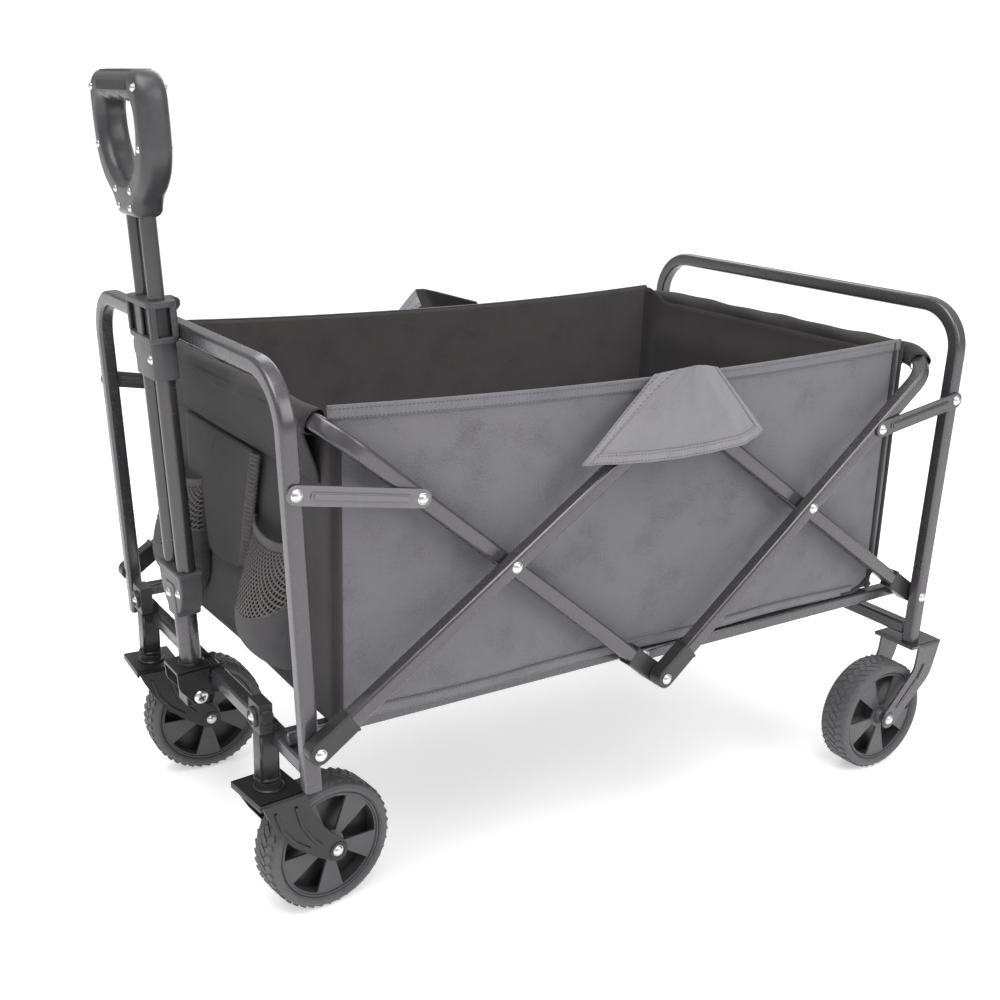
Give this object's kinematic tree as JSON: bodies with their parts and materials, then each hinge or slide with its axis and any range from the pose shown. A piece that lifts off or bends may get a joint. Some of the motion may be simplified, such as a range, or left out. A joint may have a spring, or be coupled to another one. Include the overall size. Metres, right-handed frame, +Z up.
{
  "type": "folding wagon with pull handle",
  "caption": "Folding utility wagon: cloth bag in a scissor frame of steel tube between two hoops, swivelling front casters, fixed rear wheels and a telescopic pull handle with a D grip.",
  "frame": {"origin": "on the ground, under the middle of the wagon's overall length and width", "axes": "+X towards the end with the pull handle, +Y to the wagon's left, +Z up"},
  "size_m": [0.8997, 0.5534, 0.7937],
  "materials": {
    "frame_steel": "satin powder coat",
    "black_steel": "satin powder coat",
    "zinc": "zinc plated",
    "wheel_plastic": "moulded",
    "tyre_rubber": "moulded tread",
    "black_plastic": "moulded",
    "grey_plastic": "fine grain",
    "grey_cloth": "coarse polyester weave",
    "black_cloth": "coarse polyester weave"
  },
  "bodies": {
    "front_frame": {"front_hoop": "frame_steel", "front_crossbar": "frame_steel", "hinge_lug": "black_steel", "stem_left": "black_steel", "stem_right": "black_steel"},
    "front_bar_left": {"front_bar_left": "frame_steel", "front_bar_cap_left": "black_plastic"},
    "front_bar_right": {"front_bar_right": "frame_steel", "front_bar_cap_right": "black_plastic"},
    "front_brace": {"front_brace": "frame_steel"},
    "rear_brace": {"rear_brace": "frame_steel"},
    "rear_bar_left": {"rear_bar_left": "frame_steel", "rear_bar_cap_left": "black_plastic"},
    "rear_bar_right": {"rear_bar_right": "frame_steel", "rear_bar_cap_right": "black_plastic"},
    "rear_frame": {"rear_hoop": "frame_steel", "rear_crossbar": "frame_steel", "fork_rear_left": "black_steel", "fork_rear_right": "black_steel", "axle_rear_left": "zinc", "axle_rear_right": "zinc"},
    "front_link_left": {"front_link_left": "frame_steel"},
    "front_link_right": {"front_link_right": "frame_steel"},
    "rear_link_left": {"rear_link_left": "frame_steel"},
    "rear_link_right": {"rear_link_right": "frame_steel"},
    "floor_frame_front": {"floor_frame_front": "frame_steel"},
    "floor_frame_rear": {"floor_frame_rear": "frame_steel"},
    "bag_front": {"front_panel": "black_cloth", "side_panel_left": "grey_cloth", "side_panel_right": "grey_cloth", "flap_left": "grey_cloth", "flap_right": "grey_cloth"},
    "bag_rear": {"rear_panel": "black_cloth"},
    "floor_front": {"floor_front": "black_cloth"},
    "floor_rear": {"floor_rear": "black_cloth"},
    "handle": {"yoke": "black_steel", "hinge_bolt": "zinc", "foot_tube": "frame_steel", "lower_clamp": "grey_plastic", "twin_tube_left": "frame_steel", "twin_tube_right": "frame_steel", "collar": "grey_plastic", "hoop_clip": "black_plastic", "clip_lever": "black_plastic"},
    "handle_top": {"upper_tube_left": "frame_steel", "upper_tube_right": "frame_steel", "grip": "grey_plastic"},
    "caster_left": {"fork_front_left": "black_steel", "axle_front_left": "zinc"},
    "caster_right": {"fork_front_right": "black_steel", "axle_front_right": "zinc"},
    "wheel_front_left": {"wheel_front_left": "wheel_plastic", "tyre_front_left": "tyre_rubber"},
    "wheel_front_right": {"wheel_front_right": "wheel_plastic", "tyre_front_right": "tyre_rubber"},
    "wheel_rear_left": {"wheel_rear_left": "wheel_plastic", "tyre_rear_left": "tyre_rubber"},
    "wheel_rear_right": {"wheel_rear_right": "wheel_plastic", "tyre_rear_right": "tyre_rubber"}
  },
  "joints": [
    {"name": "fold", "type": "hinge", "parent": "front_frame", "child": "front_bar_left", "pos_m": [0.381, 0.251, 0.224], "axis": [0, 1, 0], "range_deg": [0, 45.5], "deforming": ["side_panel_left", "side_panel_right", "flap_left", "flap_right", "floor_front", "floor_rear"]},
    {"name": "front_bar_right_pivot", "type": "hinge", "parent": "front_frame", "child": "front_bar_right", "pos_m": [0.381, -0.251, 0.224], "axis": [0, 1, 0], "range_deg": [-2, 47.5]},
    {"name": "front_cross_pivot", "type": "hinge", "parent": "front_bar_left", "child": "front_brace", "pos_m": [0.1787, 0.251, 0.3629], "axis": [0, 1, 0], "range_deg": [-88.76, 2]},
    {"name": "low_centre_pivot", "type": "hinge", "parent": "front_brace", "child": "rear_brace", "pos_m": [-0.015, 0.251, 0.2041], "axis": [0, 1, 0], "range_deg": [-2, 84.92]},
    {"name": "rear_cross_pivot_left", "type": "hinge", "parent": "rear_brace", "child": "rear_bar_left", "pos_m": [-0.2087, 0.251, 0.3615], "axis": [0, 1, 0], "range_deg": [-88.87, 2]},
    {"name": "rear_cross_pivot_right", "type": "hinge", "parent": "rear_brace", "child": "rear_bar_right", "pos_m": [-0.2087, -0.251, 0.3615], "axis": [0, 1, 0], "range_deg": [-88.87, 2]},
    {"name": "rear_foot_pivot", "type": "hinge", "parent": "rear_bar_left", "child": "rear_frame", "pos_m": [-0.413, 0.251, 0.218], "axis": [0, 1, 0], "range_deg": [-2, 47.2]},
    {"name": "front_link_pivot_left", "type": "hinge", "parent": "front_frame", "child": "front_link_left", "pos_m": [0.393, 0.252, 0.46], "axis": [0, 1, 0], "range_deg": [-2, 86.03]},
    {"name": "rear_link_pivot_left", "type": "hinge", "parent": "rear_frame", "child": "rear_link_left", "pos_m": [-0.423, 0.269, 0.46], "axis": [0, 1, 0], "range_deg": [-87.31, 2]},
    {"name": "front_link_pivot_right", "type": "hinge", "parent": "front_frame", "child": "front_link_right", "pos_m": [0.393, -0.252, 0.46], "axis": [0, 1, 0], "range_deg": [-2, 86.03]},
    {"name": "rear_link_pivot_right", "type": "hinge", "parent": "rear_frame", "child": "rear_link_right", "pos_m": [-0.423, -0.269, 0.46], "axis": [0, 1, 0], "range_deg": [-87.31, 2]},
    {"name": "floor_frame_front_pivot", "type": "hinge", "parent": "front_frame", "child": "floor_frame_front", "pos_m": [0.381, 0, 0.2165], "axis": [0, 1, 0], "range_deg": [-2, 79.81]},
    {"name": "floor_frame_rear_pivot", "type": "hinge", "parent": "rear_frame", "child": "floor_frame_rear", "pos_m": [-0.413, 0, 0.2165], "axis": [0, 1, 0], "range_deg": [-79.81, 2]},
    {"name": "bag_front_lift", "type": "slide", "parent": "front_frame", "child": "bag_front", "axis": [0.0921, 0, 0.9957], "range_m": [-0.004, 0.1899]},
    {"name": "bag_rear_lift", "type": "slide", "parent": "rear_frame", "child": "bag_rear", "axis": [-0.0943, 0, 0.9955], "range_m": [-0.004, 0.193]},
    {"name": "floor_front_hinge", "type": "hinge", "parent": "bag_front", "child": "floor_front", "pos_m": [0.348, 0, 0.23], "axis": [0, 1, 0], "range_deg": [-2, 81.24]},
    {"name": "floor_rear_hinge", "type": "hinge", "parent": "bag_rear", "child": "floor_rear", "pos_m": [-0.367, 0, 0.23], "axis": [0, 1, 0], "range_deg": [-83.06, 2]},
    {"name": "handle_tilt", "type": "hinge", "parent": "front_frame", "child": "handle", "pos_m": [0.399, 0, 0.18], "axis": [0, 1, 0], "range_deg": [0, 80]},
    {"name": "handle_extend", "type": "slide", "parent": "handle", "child": "handle_top", "axis": [0.0602, 0, 0.9982], "range_m": [-0.055, 0.14]},
    {"name": "caster_swivel_left", "type": "hinge", "parent": "front_frame", "child": "caster_left", "pos_m": [0.3885, 0.1665, 0.15], "axis": [0, 0, 1], "continuous": true},
    {"name": "wheel_spin_front_left", "type": "hinge", "parent": "caster_left", "child": "wheel_front_left", "pos_m": [0.33047, 0.16091, 0.0686], "axis": [-0.0958, 0.9954, 0], "continuous": true},
    {"name": "caster_swivel_right", "type": "hinge", "parent": "front_frame", "child": "caster_right", "pos_m": [0.3885, -0.1665, 0.15], "axis": [0, 0, 1], "continuous": true},
    {"name": "wheel_spin_front_right", "type": "hinge", "parent": "caster_right", "child": "wheel_front_right", "pos_m": [0.33028, -0.16345, 0.0686], "axis": [0.0523, 0.9986, 0], "continuous": true},
    {"name": "wheel_spin_rear_left", "type": "hinge", "parent": "rear_frame", "child": "wheel_rear_left", "pos_m": [-0.3718, 0.2447, 0.0686], "axis": [0, 1, 0], "continuous": true},
    {"name": "wheel_spin_rear_right", "type": "hinge", "parent": "rear_frame", "child": "wheel_rear_right", "pos_m": [-0.3718, -0.2447, 0.0686], "axis": [0, 1, 0], "continuous": true}
  ],
  "couplings": [
    {"joint": "front_bar_right_pivot", "follows": "fold", "ratio": 1},
    {"joint": "front_cross_pivot", "follows": "fold", "ratio": -1.9067},
    {"joint": "low_centre_pivot", "follows": "fold", "ratio": 1.8225},
    {"joint": "rear_cross_pivot_left", "follows": "fold", "ratio": -1.9093},
    {"joint": "rear_cross_pivot_right", "follows": "fold", "ratio": -1.9093},
    {"joint": "rear_foot_pivot", "follows": "fold", "ratio": 0.99346},
    {"joint": "front_link_pivot_left", "follows": "fold", "ratio": 1.8468},
    {"joint": "rear_link_pivot_left", "follows": "fold", "ratio": -1.8749},
    {"joint": "front_link_pivot_right", "follows": "fold", "ratio": 1.8468},
    {"joint": "rear_link_pivot_right", "follows": "fold", "ratio": -1.8749},
    {"joint": "floor_frame_front_pivot", "follows": "fold", "ratio": 1.7101},
    {"joint": "floor_frame_rear_pivot", "follows": "fold", "ratio": -1.7102},
    {"joint": "bag_front_lift", "follows": "fold", "m_per_rad": 0.23406},
    {"joint": "bag_rear_lift", "follows": "fold", "m_per_rad": 0.23794},
    {"joint": "floor_front_hinge", "follows": "fold", "ratio": 1.7416},
    {"joint": "floor_rear_hinge", "follows": "fold", "ratio": -1.7814}
  ]
}
